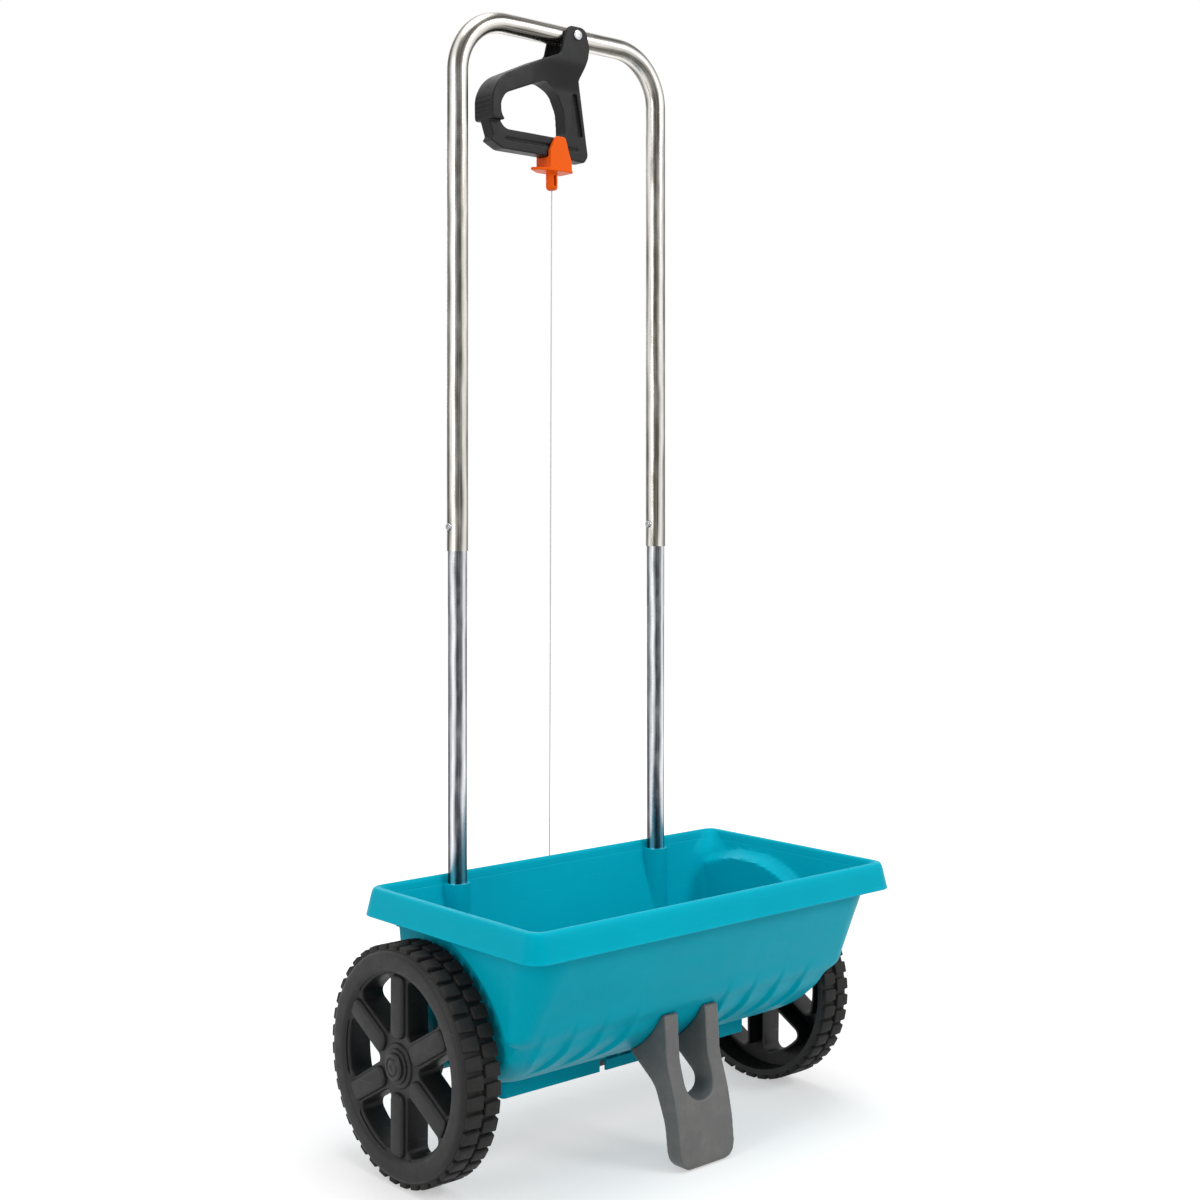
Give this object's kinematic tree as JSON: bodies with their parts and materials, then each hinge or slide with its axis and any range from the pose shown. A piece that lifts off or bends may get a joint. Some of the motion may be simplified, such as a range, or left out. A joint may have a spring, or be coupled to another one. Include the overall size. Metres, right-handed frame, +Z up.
{
  "type": "drop spreader",
  "caption": "Walk-behind garden drop spreader: open trough hopper on spoked wheels with a stand foot, bent tube push bar, squeeze lever with dose slider, and a cord to the shutter.",
  "frame": {"origin": "on the ground, under the middle of the object's box as it stands on its wheels and foot", "axes": "+Z up; +X along the axle, to the left of someone walking behind the push bar's back; +Y backwards, from the foot and hopper's front towards the push bar and the user"},
  "size_m": [0.537, 0.307, 1.1728],
  "materials": {
    "hopper_plastic": "moulded polypropylene, fine texture outside, smoother inside",
    "shutter_plastic": "satin",
    "black_plastic": "satin moulded",
    "screw_steel": "zinc plated",
    "foot_plastic": "dark grey moulded",
    "upper_tube_metal": "satin drawn tube",
    "lower_tube_metal": "satin drawn tube",
    "button_steel": "polished",
    "spring_steel": "drawn wire and sheet",
    "axle_steel": "drawn bar",
    "bush_plastic": "satin",
    "wheel_plastic": "charcoal, moulded, dusty tread",
    "cap_plastic": "smooth",
    "lever_plastic": "satin moulded",
    "bolt_chrome": "polished",
    "slider_plastic": "smooth moulded",
    "cord_nylon": "braided, light grey"
  },
  "bodies": {
    "frame": {"hopper": "hopper_plastic", "shutter_rail_front": "black_plastic", "shutter_rail_back": "black_plastic", "rail_screws": "screw_steel", "stand_foot": "foot_plastic", "foot_screws": "screw_steel", "upper_tube": "upper_tube_metal", "lower_tube_left": "lower_tube_metal", "lower_tube_right": "lower_tube_metal", "socket_screws": "screw_steel", "axle_bushes": "bush_plastic", "lever_bolt": "bolt_chrome", "lever_nut": "bolt_chrome", "lever_spacers": "black_plastic", "crank_screw": "screw_steel", "return_spring": "spring_steel"},
    "drive_axle": {"axle": "axle_steel", "feed_roller": "black_plastic", "wheel_left": "wheel_plastic", "hub_cap_left": "cap_plastic", "hub_cap_right": "cap_plastic", "drive_pin": "axle_steel", "axle_washers": "screw_steel"},
    "right_wheel": {"wheel_right": "wheel_plastic"},
    "lever": {"hand_lever": "lever_plastic"},
    "dose_slider": {"dose_slider": "slider_plastic"},
    "cord_swivel": {"cord_swivel": "spring_steel"},
    "cord": {"pull_cord": "cord_nylon", "cord_link": "spring_steel"},
    "crank": {"bell_crank": "black_plastic"},
    "shutter": {"shutter": "shutter_plastic"},
    "button_left": {"snap_button_left": "button_steel", "snap_spring_left": "spring_steel"},
    "button_right": {"snap_button_right": "button_steel", "snap_spring_right": "spring_steel"}
  },
  "joints": [
    {"name": "axle_spin", "type": "hinge", "parent": "frame", "child": "drive_axle", "pos_m": [0, 0.0385, 0.115], "axis": [1, 0, 0], "continuous": true},
    {"name": "right_wheel_spin", "type": "hinge", "parent": "frame", "child": "right_wheel", "pos_m": [0, 0.0385, 0.115], "axis": [1, 0, 0], "continuous": true},
    {"name": "lever_squeeze", "type": "hinge", "parent": "frame", "child": "lever", "pos_m": [0.0095, 0.1055, 1.1618], "axis": [0, 1, 0], "range_deg": [0, 12], "stiffness_Nm_per_rad": 1.5, "springref_deg": -5.73},
    {"name": "dose_slide", "type": "slide", "parent": "lever", "child": "dose_slider", "axis": [-1, 0, 0], "range_m": [0, 0.03]},
    {"name": "cord_shift", "type": "hinge", "parent": "lever", "child": "cord_swivel", "pos_m": [-0.0285, 0.1055, 0.1214], "axis": [0, 1, 0], "range_deg": [-2.1, 0]},
    {"name": "swivel_turn", "type": "hinge", "parent": "cord_swivel", "child": "cord", "pos_m": [-0.0135, 0.1055, 0.9983], "axis": [0, 1, 0], "range_deg": [-15, 0]},
    {"name": "crank_turn", "type": "hinge", "parent": "frame", "child": "crank", "pos_m": [-0.04, 0.1275, 0.112], "axis": [0, 1, 0], "range_deg": [-23.6, 0]},
    {"name": "shutter_slide", "type": "slide", "parent": "frame", "child": "shutter", "axis": [1, 0, 0], "range_m": [0, 0.0066]},
    {"name": "button_left_press", "type": "slide", "parent": "frame", "child": "button_left", "axis": [1, 0, 0], "range_m": [0, 0.0035], "stiffness_N_per_m": 800, "springref_m": -0.002},
    {"name": "button_right_press", "type": "slide", "parent": "frame", "child": "button_right", "axis": [1, 0, 0], "range_m": [0, 0.0035], "stiffness_N_per_m": 800, "springref_m": -0.002}
  ],
  "couplings": [
    {"joint": "swivel_turn", "follows": "lever_squeeze", "ratio": -1.18},
    {"joint": "cord_shift", "follows": "dose_slide", "rad_per_m": -1.1405},
    {"joint": "crank_turn", "follows": "lever_squeeze", "ratio": -1.955},
    {"joint": "shutter_slide", "follows": "lever_squeeze", "m_per_rad": 0.03106}
  ]
}
